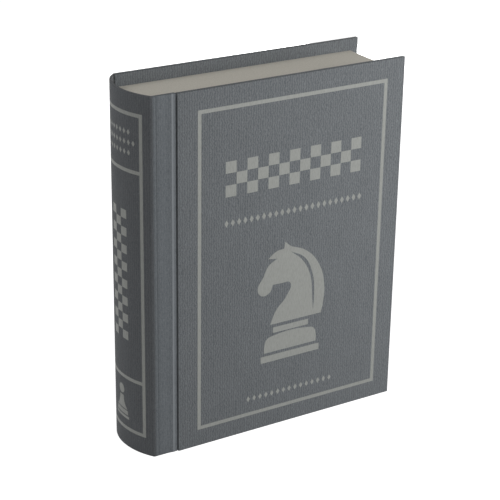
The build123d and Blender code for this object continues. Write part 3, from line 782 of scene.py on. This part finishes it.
def silver_print():
    material, tree, shader = new_material("silver print", {
        "Roughness": 0.55, "Specular IOR Level": 0.4, "Metallic": 0.15,
    })
    place = object_place(tree)
    slub = noise(tree, place, (1500, 1500, 300), 3.0, 0.6)
    speck = noise(tree, place, (2600, 2600, 2600), 2.0, 0.7)
    level = shares(tree, slub, 0.6, speck, 0.4)
    dark, plain, light = linear(130, 131, 128), linear(146, 148, 144), linear(154, 156, 152)
    colour = ramp(tree, level, (0.28, dark), (0.5, plain), (0.75, light))
    tree.links.new(colour, shader.inputs["Base Color"])
    add_bump(tree, shader, level, 0.03 * MM, 0.5)
    return material


silver = silver_print()
print(silver.name, "has", len(silver.node_tree.nodes), "nodes")

# %% Flat shapes
PRINT_THICKNESS = 0.05 * MM
PRINT_SINK = 0.02 * MM
SQUARE_GAP = 0.06 * MM
CURVE_STEPS = 8
SAME_POINT = 0.01 * MM
CORNER = "VECTOR"
SMOOTH = "AUTO"


def new_rectangle(left, right, bottom, top):
    bm = bmesh.new()
    bmesh.ops.create_grid(bm, x_segments=1, y_segments=1, size=0.5)
    bmesh.ops.scale(bm, vec=(right - left, top - bottom, 1), verts=bm.verts)
    bmesh.ops.translate(bm, vec=((left + right) / 2, (bottom + top) / 2, 0), verts=bm.verts)
    return bm


def join(bms):
    """Put several flat drawings into the first one."""
    first = bms[0]
    for other in bms[1:]:
        mesh = bpy.data.meshes.new("part of a print")
        other.to_mesh(mesh)
        other.free()
        first.from_mesh(mesh)
        bpy.data.meshes.remove(mesh)
    return first


def frame_shape(left, right, bottom, top, line):
    """The outline of a rectangle, drawn with a line of that width."""
    bm = new_rectangle(left, right, bottom, top)
    inside = bm.faces[:]
    bmesh.ops.inset_region(bm, faces=inside, thickness=line, use_boundary=True, use_even_offset=True)
    bmesh.ops.delete(bm, geom=inside, context="FACES")
    return bm


def chequer(columns, rows, pitch, middle):
    """Every second square of a grid, each a hair smaller than its place, so that corners don't touch."""
    bm = bmesh.new()
    bmesh.ops.create_grid(bm, x_segments=columns, y_segments=rows, size=0.5)
    bmesh.ops.scale(bm, vec=(columns * pitch, rows * pitch, 1), verts=bm.verts)
    odd = []
    for face in bm.faces:
        spot = face.calc_center_median()
        column = round(spot.x / pitch + (columns - 1) / 2)
        row = round(spot.y / pitch + (rows - 1) / 2)
        if (column + row) % 2:
            odd.append(face)
    bmesh.ops.delete(bm, geom=odd, context="FACES")
    rims = bmesh.ops.inset_individual(bm, faces=bm.faces[:], thickness=SQUARE_GAP)["faces"]
    bmesh.ops.delete(bm, geom=rims, context="FACES")
    bmesh.ops.translate(bm, vec=(*middle, 0), verts=bm.verts)
    return bm


def lozenge_row(count, pitch, width, height, middle):
    """A row of upright lozenges: circles of four corners."""
    bm = bmesh.new()
    for index in range(count):
        made = bmesh.ops.create_circle(bm, cap_ends=True, segments=4, radius=0.5)["verts"]
        bmesh.ops.scale(bm, vec=(width, height, 1), verts=made)
        u = middle[0] + (index - (count - 1) / 2) * pitch
        bmesh.ops.translate(bm, vec=(u, middle[1], 0), verts=made)
    return bm


def drawn_shape(*outlines):
    """A filled shape from outlines of smooth points and corners, in millimetres. Later ones cut holes."""
    curve = bpy.data.curves.new("outline", "CURVE")
    curve.dimensions = "2D"
    curve.fill_mode = "BOTH"
    curve.resolution_u = CURVE_STEPS
    for outline in outlines:
        spline = curve.splines.new("BEZIER")
        spline.bezier_points.add(len(outline) - 1)
        spline.use_cyclic_u = True
        for point, (u, v, kind) in zip(spline.bezier_points, outline):
            point.co = (u * MM, v * MM, 0)
            point.handle_left_type = kind
            point.handle_right_type = kind
    holder = bpy.data.objects.new("outline", curve)
    scene.collection.objects.link(holder)
    bpy.context.view_layer.update()
    evaluated = holder.evaluated_get(bpy.context.evaluated_depsgraph_get())
    mesh = bpy.data.meshes.new_from_object(evaluated)
    bm = bmesh.new()
    bm.from_mesh(mesh)
    bmesh.ops.remove_doubles(bm, verts=bm.verts, dist=SAME_POINT)
    bpy.data.meshes.remove(mesh)
    bpy.data.objects.remove(holder)
    bpy.data.curves.remove(curve)
    return bm


def thicken(bm):
    """Turn flat faces into a thin solid that stands a hair above the cloth and is rooted a hair in it."""
    for face in bm.faces:
        face.normal_update()
        if face.normal.z < 0:
            face.normal_flip()
    bmesh.ops.translate(bm, vec=(0, 0, -PRINT_SINK), verts=bm.verts)
    raised = bmesh.ops.extrude_face_region(bm, geom=bm.faces[:], use_keep_orig=True)["geom"]
    bmesh.ops.translate(bm, vec=(0, 0, PRINT_THICKNESS), verts=new_verts(raised))
    bmesh.ops.recalc_face_normals(bm, faces=bm.faces)


# %% [markdown]
# ## Print on the front cover
#
# Inside a frame the cover carries a chess knight, the common figure of the game, on a collar, a rounded
# foot and a plinth. Above the knight runs a chequered band and a fine row of lozenges, and a shorter row
# stands under it. The knight is drawn with a few Bezier points. Smooth points make its curves, and corners
# its ears and its base.

# %% Front print
PRINT_LOW, PRINT_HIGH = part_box("front_foil")
FRONT_LINE = 2.75 * MM
PRINT_MIDDLE = (PRINT_LOW.x + PRINT_HIGH.x) / 2


def print_on_front(name, bm, replaces=()):
    """Stand a flat drawing up and lay it on the cover's face. Its u is measured from the frame's middle."""
    thicken(bm)
    stand_up = Matrix.Rotation(math.pi / 2, 3, "X")
    bmesh.ops.rotate(bm, cent=(0, 0, 0), matrix=stand_up, verts=bm.verts)
    bmesh.ops.translate(bm, vec=(PRINT_MIDDLE, FRONT_LOW.y, 0), verts=bm.verts)
    add_piece(name, bm, [silver], "front_cover", replaces)


half_frame = (PRINT_HIGH.x - PRINT_LOW.x) / 2
front_frame = frame_shape(-half_frame, half_frame, PRINT_LOW.z, PRINT_HIGH.z, FRONT_LINE)
print_on_front("front_print_frame", front_frame, ["front_foil"])
band = chequer(columns=13, rows=3, pitch=8.6 * MM, middle=(0.6 * MM, 200.3 * MM))
print_on_front("front_print_band", band)
LOZENGE_STEP = 5.05 * MM
upper_row = lozenge_row(23, LOZENGE_STEP, width=3.3 * MM, height=5.4 * MM, middle=(1.2 * MM, 167.9 * MM))
print_on_front("front_print_upper_row", upper_row)
lower_row = lozenge_row(15, LOZENGE_STEP, width=3.0 * MM, height=4.8 * MM, middle=(0.7 * MM, 26.7 * MM))
print_on_front("front_print_lower_row", lower_row)

# %% Knight
KNIGHT_HEAD = [
    (-17.0, 82.4, CORNER), (-12.6, 92.5, SMOOTH), (-3.6, 102.5, SMOOTH),
    (-0.6, 112.0, SMOOTH), (-9.0, 113.4, SMOOTH), (-15.6, 113.6, CORNER),
    (-18.0, 108.2, SMOOTH), (-24.2, 106.6, SMOOTH), (-28.2, 112.0, SMOOTH),
    (-23.6, 121.2, SMOOTH), (-19.4, 129.0, SMOOTH), (-12.2, 133.2, CORNER),
    (-20.0, 134.4, CORNER), (-12.6, 139.0, SMOOTH), (-6.6, 139.8, CORNER),
    (-5.8, 145.0, CORNER), (-1.0, 140.6, CORNER), (12.4, 134.6, SMOOTH),
    (23.8, 121.5, SMOOTH), (28.9, 104.0, SMOOTH), (28.4, 91.0, SMOOTH),
    (26.6, 82.4, CORNER),
]
MANE_LINE = [
    (-1.0, 136.6, CORNER), (11.2, 129.4, SMOOTH), (18.6, 114.5, SMOOTH),
    (20.2, 99.0, SMOOTH), (19.6, 86.0, CORNER), (18.4, 99.0, SMOOTH),
    (16.6, 113.6, SMOOTH), (9.4, 127.6, SMOOTH),
]
print_on_front("front_print_knight", drawn_shape(KNIGHT_HEAD, MANE_LINE))
COLLAR = new_rectangle(-14.6 * MM, 15.6 * MM, 75.4 * MM, 79.8 * MM)
PLINTH = new_rectangle(-24.6 * MM, 25.6 * MM, 52.8 * MM, 58.0 * MM)
FOOT = [
    (-21.8, 60.4, CORNER), (-21.8, 66.0, SMOOTH), (-19.6, 71.4, SMOOTH),
    (-14.2, 73.2, SMOOTH), (15.2, 73.2, SMOOTH), (20.6, 71.4, SMOOTH),
    (22.8, 66.0, SMOOTH), (22.8, 60.4, CORNER),
]
print_on_front("front_print_foot", join([COLLAR, PLINTH, drawn_shape(FOOT)]))

# %% [markdown]
# ## Print on the spine
#
# The spine has its own frame with two cross bars. The upper field holds three short rows of lozenges, the
# tall middle field a chequered band that runs up it, and the lower field a pawn.

# %% Spine print
FOIL_LOW, FOIL_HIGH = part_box("spine_foil")
SPINE_LINE = 2.6 * MM
SPINE_FRAME_SIDE = 8.2 * MM
SPINE_BAR_TAIL = 55.8 * MM
SPINE_BAR_HEAD = 54.6 * MM
ROLL_STEP = 1.5 * MM

half_arc = NEAR_RADIUS * math.asin(HALF_CHORD / NEAR_RADIUS)
half_spine_frame = half_arc - SPINE_FRAME_SIDE + SPINE_LINE / 2


def print_on_spine(name, bm, replaces=()):
    """Cut a flat drawing into strips and roll it onto the spine. Its u is the length along the curve."""
    thicken(bm)
    half_width = max(abs(vert.co.x) for vert in bm.verts)
    cuts = int(half_width / ROLL_STEP)
    for index in range(-cuts, cuts + 1):
        cut(bm, (index * ROLL_STEP, 0, 0), (1, 0, 0))
    for vert in bm.verts:
        u, v, proud = vert.co
        centre_x, radius = spine_arc(SPINE_MIDDLE_Y - u)
        angle = u / radius
        reach = radius + proud
        vert.co = (centre_x - reach * math.cos(angle), SPINE_MIDDLE_Y - reach * math.sin(angle), v)
    bmesh.ops.recalc_face_normals(bm, faces=bm.faces)
    piece = add_piece(name, bm, [silver], "case", replaces)
    smooth_curves(piece)


spine_frame = [frame_shape(-half_spine_frame, half_spine_frame, FOIL_LOW.z, FOIL_HIGH.z, SPINE_LINE)]
inner_side = half_spine_frame - SPINE_LINE
for bar_z in (SPINE_BAR_TAIL, HEIGHT - SPINE_BAR_HEAD):
    spine_frame.append(new_rectangle(-inner_side, inner_side, bar_z - SPINE_LINE / 2, bar_z + SPINE_LINE / 2))
print_on_spine("spine_print_frame", join(spine_frame), ["spine_foil"])
spine_band = chequer(columns=3, rows=15, pitch=6.5 * MM, middle=(0, 134.5 * MM))
print_on_spine("spine_print_band", spine_band)
rows = []
for count, z in ((7, 239.6 * MM), (9, 232.4 * MM), (7, 225.2 * MM)):
    rows.append(lozenge_row(count, pitch=4.4 * MM, width=2.8 * MM, height=4.2 * MM, middle=(0, z)))
print_on_spine("spine_print_rows", join(rows))

# %% Pawn
PAWN_HEAD = [(0, 48.4, SMOOTH), (-3.7, 44.7, SMOOTH), (0, 41.0, SMOOTH), (3.7, 44.7, SMOOTH)]
PAWN_BODY = [
    (-7.2, 29.6, CORNER), (-4.0, 33.8, SMOOTH), (-2.5, 39.8, CORNER),
    (2.5, 39.8, CORNER), (4.0, 33.8, SMOOTH), (7.2, 29.6, CORNER),
]
pawn_foot = new_rectangle(-7.8 * MM, 7.8 * MM, 25.4 * MM, 28.7 * MM)
pawn_plinth = new_rectangle(-9.0 * MM, 9.0 * MM, 22.4 * MM, 24.4 * MM)
pawn = [drawn_shape(PAWN_HEAD), drawn_shape(PAWN_BODY), pawn_foot, pawn_plinth]
print_on_spine("spine_print_pawn", join(pawn))

# %% [markdown]
# ## Paper, board, foam, felt, wood and metal
#
# The solids that keep their own shape only need a finish. Each finish is one short function, and reads
# Object coordinates, which on these solids are real metres.

# %% Finishes for the solids
def speckled(name, dark, light, scale, roughness):
    """Paper, board and tape: a fine irregular surface."""
    material, tree, shader = new_material(name, {"Roughness": roughness, "Specular IOR Level": 0.25})
    level = noise(tree, object_place(tree), (scale, scale, scale), 4.0, 0.6)
    tree.links.new(ramp(tree, level, (0.3, dark), (0.7, light)), shader.inputs["Base Color"])
    add_bump(tree, shader, level, 0.02 * MM, 0.5)
    return material


def wood(name, dark, light, roughness):
    """Turned wood, its grain along X because the men lie that way."""
    material, tree, shader = new_material(name, {"Roughness": roughness})
    place = object_place(tree)
    figure = noise(tree, place, (60, 420, 420), 4.0, 0.6)
    pore = noise(tree, place, (300, 3000, 3000), 2.0, 0.6)
    level = shares(tree, figure, 0.75, pore, 0.25)
    tree.links.new(ramp(tree, level, (0.3, dark), (0.7, light)), shader.inputs["Base Color"])
    add_bump(tree, shader, pore, 0.02 * MM, 0.3)
    return material


def metal(name, colour, roughness):
    material, tree, shader = new_material(name, {"Roughness": roughness, "Metallic": 1.0})
    scratch = noise(tree, object_place(tree), (900, 900, 60), 3.0)
    dull = tuple(0.8 * channel for channel in colour[:3]) + (1.0,)
    tree.links.new(ramp(tree, scratch, (0.3, dull), (0.7, colour)), shader.inputs["Base Color"])
    return material


def foam(name, dark, light):
    """Fine closed-cell foam: round pores of about half a millimetre, darker in their pits."""
    material, tree, shader = new_material(name, {"Roughness": 0.95, "Specular IOR Level": 0.2})
    place = object_place(tree)
    pore = add_node(tree, "ShaderNodeTexVoronoi", {"Vector": place, "Scale": 2100.0}).outputs["Distance"]
    cloud = noise(tree, place, (500, 500, 500), 3.0, 0.6)
    level = shares(tree, pore, 0.6, cloud, 0.6)
    tree.links.new(ramp(tree, level, (0.35, light), (0.9, dark)), shader.inputs["Base Color"])
    add_bump(tree, shader, pore, 0.10 * MM, 0.6)
    return material


def felt(name, dark, light):
    """Pressed wool: short fibres in every direction, with a soft bright rim where they stand up."""
    material, tree, shader = new_material(name, {
        "Roughness": 0.98, "Specular IOR Level": 0.1, "Sheen Weight": 0.35, "Sheen Roughness": 0.6,
    })
    place = object_place(tree)
    across = noise(tree, place, (900, 4200, 900), 3.0, 0.7)
    along = noise(tree, place, (900, 900, 4200), 3.0, 0.7)
    fibre = calculate(tree, "MAXIMUM", across, along)
    tree.links.new(ramp(tree, fibre, (0.4, dark), (0.75, light)), shader.inputs["Base Color"])
    add_bump(tree, shader, fibre, 0.12 * MM, 0.7)
    return material


FINISHES = {
    "page_paper": speckled("page paper", linear(179, 175, 165), linear(194, 190, 180), 900, 0.75),
    "grey_board": speckled("grey board", linear(150, 146, 138), linear(176, 171, 162), 1400, 0.9),
    "lining_paper": speckled("lining paper", linear(206, 201, 190), linear(220, 215, 205), 1100, 0.8),
    "divider_board": speckled("covered divider", linear(206, 201, 190), linear(220, 215, 205), 1100, 0.8),
    "rail_wood": wood("rail wood", linear(176, 146, 104), linear(204, 176, 134), 0.6),
    "magnet": metal("nickel", linear(190, 190, 188), 0.3),
    "steel_plate": metal("steel", linear(170, 172, 174), 0.35),
    "insert_foam": foam("foam", linear(46, 48, 51), linear(66, 68, 72)),
    "booklet_paper": speckled("booklet paper", linear(222, 220, 214), linear(234, 232, 226), 1000, 0.6),
    "leaf_board": speckled("leaf core", linear(58, 56, 54), linear(78, 76, 73), 1500, 0.9),
    "board_backing": speckled("backing paper", linear(52, 54, 57), linear(66, 68, 71), 1800, 0.7),
    "tape_cloth": speckled("tape", linear(40, 42, 45), linear(56, 58, 61), 2200, 0.8),
    "foot_felt": felt("felt", linear(36, 60, 46), linear(60, 90, 71)),
    "light_wood": wood("light wood", linear(190, 158, 110), linear(222, 194, 148), 0.42),
    "dark_wood": wood("dark wood", linear(52, 36, 27), linear(86, 60, 44), 0.42),
}

# %% Give each solid its finish
finished = 0
for node in frame["nodes"].values():
    for material_slot in node.material_slots:
        finish = FINISHES.get(material_slot.material.name)
        if finish:
            material_slot.material = finish
            finished += 1
print("solids with a finish:", finished)

# %% [markdown]
# ## Foam inserts and felt bases
#
# Soft things have no sharp edges, so these four solids are remade. A copy of a solid's mesh is loose
# triangles. Its doubles are merged and its flat triangles joined into whole faces, and then a Bevel modifier
# can round each edge: where the foam was cut for the men, and the rim of every felt disc.

# %% Rounded soft pieces
FOAM_ROUND = 0.5 * MM
FELT_ROUND = 0.25 * MM
MERGE = 0.001 * MM
FLAT = math.radians(1)
SOFT_CREASE = math.radians(40)
SHARP_DEGREES = 50


def soft_copy(name, node_name, slot, width):
    node = frame["nodes"][node_name]
    bm = bmesh.new()
    bm.from_mesh(node.data)
    bmesh.ops.remove_doubles(bm, verts=bm.verts, dist=MERGE)
    bmesh.ops.dissolve_limit(bm, angle_limit=FLAT, verts=bm.verts, edges=bm.edges)
    piece = add_piece(name, bm, [FINISHES[slot]], "case", [node_name])
    bevel = piece.modifiers.new("soft edges", "BEVEL")
    bevel.width = width
    bevel.segments = 3
    bevel.limit_method = "ANGLE"
    bevel.angle_limit = SOFT_CREASE
    smooth_curves(piece, SHARP_DEGREES)
    return piece


for name, node_name in (("foam_for_the_men", "main_insert"), ("foam_for_the_royals", "side_insert")):
    soft_copy(name, node_name, "insert_foam", FOAM_ROUND)
soft_copy("light_felt_bases", "white_felts", "foot_felt", FELT_ROUND)
soft_copy("dark_felt_bases", "black_felts", "foot_felt", FELT_ROUND)

# %% [markdown]
# ## The board in the spine
#
# A stiff board lies under the spine's cloth. It stops where the far arc runs to the back cover, so that the
# cloth alone makes that joint. The board is the same kind of shape: two arcs, lifted and made a slab.

# %% Spine board
SPINE_BOARD_LOW, SPINE_BOARD_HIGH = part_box("spine_board")
SPINE_BOARD_THICKNESS = 1.5 * MM
SPINE_BOARD_NEAR = math.radians(32)
SPINE_BOARD_FAR = math.radians(26)

board = bmesh.new()
board_reach = NEAR_RADIUS - CLOTH
board_start_x = arc_centre[0] - board_reach * math.cos(SPINE_BOARD_NEAR)
board_start_y = SPINE_MIDDLE_Y - board_reach * math.sin(SPINE_BOARD_NEAR)
line_end = board.verts.new((board_start_x, board_start_y, SPINE_BOARD_LOW.z))
line_end = turn_round(board, line_end, arc_centre, -SPINE_BOARD_NEAR, ARC_STEPS)
turn_round(board, line_end, far_centre, -SPINE_BOARD_FAR, ARC_STEPS)
lift(board, SPINE_BOARD_HIGH.z - SPINE_BOARD_LOW.z)
bmesh.ops.solidify(board, geom=board.faces[:], thickness=SPINE_BOARD_THICKNESS)
bmesh.ops.recalc_face_normals(board, faces=board.faces)
spine_core = add_piece(
    "curved_spine_board", board, [FINISHES["grey_board"]], "case", ["spine_board"]
)
smooth_curves(spine_core)

# %% [markdown]
# ## The printed board
#
# Each leaf carries half of the board: four columns of eight squares, and a margin with a fine line. Print
# has no thickness of its own, so a material draws it and no square is a piece. Columns are counted from
# the fold. When the board opens, the far leaf swings over to the other side of the fold, so its colours
# are swapped to keep light beside dark.

# %% Board print
LEAF_LOW, LEAF_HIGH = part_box("board_near_print")
TAPE_LOW, TAPE_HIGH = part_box("board_tape")
SQUARE = 26.0 * MM
HALF_FOLD_GAP = 0.1 * MM
LAST_SQUARE = 4.0
LINE_START = 4.16
LINE_END = 4.22
fold_x = LEAF_LOW.x - HALF_FOLD_GAP
board_middle_z = (LEAF_LOW.z + LEAF_HIGH.z) / 2


def board_print(name, first, second):
    """Squares in two colours. Where they and the margin's line end is counted in squares from the middle."""
    material, tree, shader = new_material(name, {"Roughness": 0.45, "Specular IOR Level": 0.4})
    place = object_place(tree)
    to_squares = add_node(tree, "ShaderNodeMapping", {
        "Vector": place,
        "Location": (-fold_x / SQUARE, 0.5, -board_middle_z / SQUARE),
        "Scale": (1 / SQUARE, 0, 1 / SQUARE),
    }).outputs[0]
    squares = add_node(tree, "ShaderNodeTexChecker", {
        "Vector": to_squares, "Color1": first, "Color2": second, "Scale": 1.0,
    }).outputs["Color"]
    split = add_node(tree, "ShaderNodeSeparateXYZ", {"Vector": to_squares})
    up = calculate(tree, "ABSOLUTE", split.outputs["Z"], 0.0)
    edge = calculate(tree, "MAXIMUM", up, split.outputs["X"])
    beyond = calculate(tree, "GREATER_THAN", edge, LAST_SQUARE)
    past_start = calculate(tree, "GREATER_THAN", edge, LINE_START)
    before_end = calculate(tree, "LESS_THAN", edge, LINE_END)
    line = calculate(tree, "MULTIPLY", past_start, before_end)
    margin = blend_colours(tree, line, linear(226, 219, 203), linear(70, 74, 78))
    colour = blend_colours(tree, beyond, squares, margin)
    fibre = noise(tree, place, (1300, 1300, 1300), 3.0, 0.6)
    wear_and_highlight = ramp(tree, fibre, (0.3, (0.86, 0.86, 0.86, 1)), (0.7, WHITE))
    tree.links.new(blend_colours(tree, 1.0, colour, wear_and_highlight, "MULTIPLY"), shader.inputs["Base Color"])
    add_bump(tree, shader, fibre, 0.02 * MM, 0.4)
    return material


SQUARE_DARK = linear(84, 90, 95)
SQUARE_LIGHT = linear(222, 214, 196)
near_print = board_print("near leaf print", SQUARE_DARK, SQUARE_LIGHT)
far_print = board_print("far leaf print", SQUARE_LIGHT, SQUARE_DARK)
frame["nodes"]["board_near_print"].material_slots[0].material = near_print
frame["nodes"]["board_far_print"].material_slots[0].material = far_print
print("the squares are", round(SQUARE / MM, 1), "mm wide")

# %% [markdown]
# ## The board's tape
#
# A tape is glued to the back of both leaves and dips into the fold between them. Folded up, it covers the
# leaves' edges. It bends across the fold as the groove's strip does.

# %% Board tape
TAPE = 0.06 * MM
TAPE_REACH = 8.0 * MM
TAPE_BEND = 0.15 * MM
tape_x = LEAF_LOW.x - TAPE
fold_y = (TAPE_LOW.y + TAPE_HIGH.y) / 2
far_back = TAPE_LOW.y - TAPE
near_back = TAPE_HIGH.y + TAPE
tape_line = [(tape_x + TAPE_REACH, far_back), (tape_x, far_back)]
for share in (-1.0, -0.5, 0.0, 0.5, 1.0):
    tape_line.append((tape_x, fold_y + share * TAPE_BEND))
tape_line += [(tape_x, near_back), (tape_x + TAPE_REACH, near_back)]
tape = bmesh.new()
straight_line(tape, [(x, y, TAPE_LOW.z) for x, y in tape_line])
lift(tape, TAPE_HIGH.z - TAPE_LOW.z)
fold_tape = add_piece("board_fold_tape", tape, [FINISHES["tape_cloth"]], None, ["board_tape"])
give_thickness(fold_tape, TAPE, inwards=False)
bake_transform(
    fold_tape, "board_near_half", "board_far_half",
    start=(tape_x, fold_y + TAPE_BEND, middle_z), end=(tape_x, fold_y - TAPE_BEND, middle_z),
)
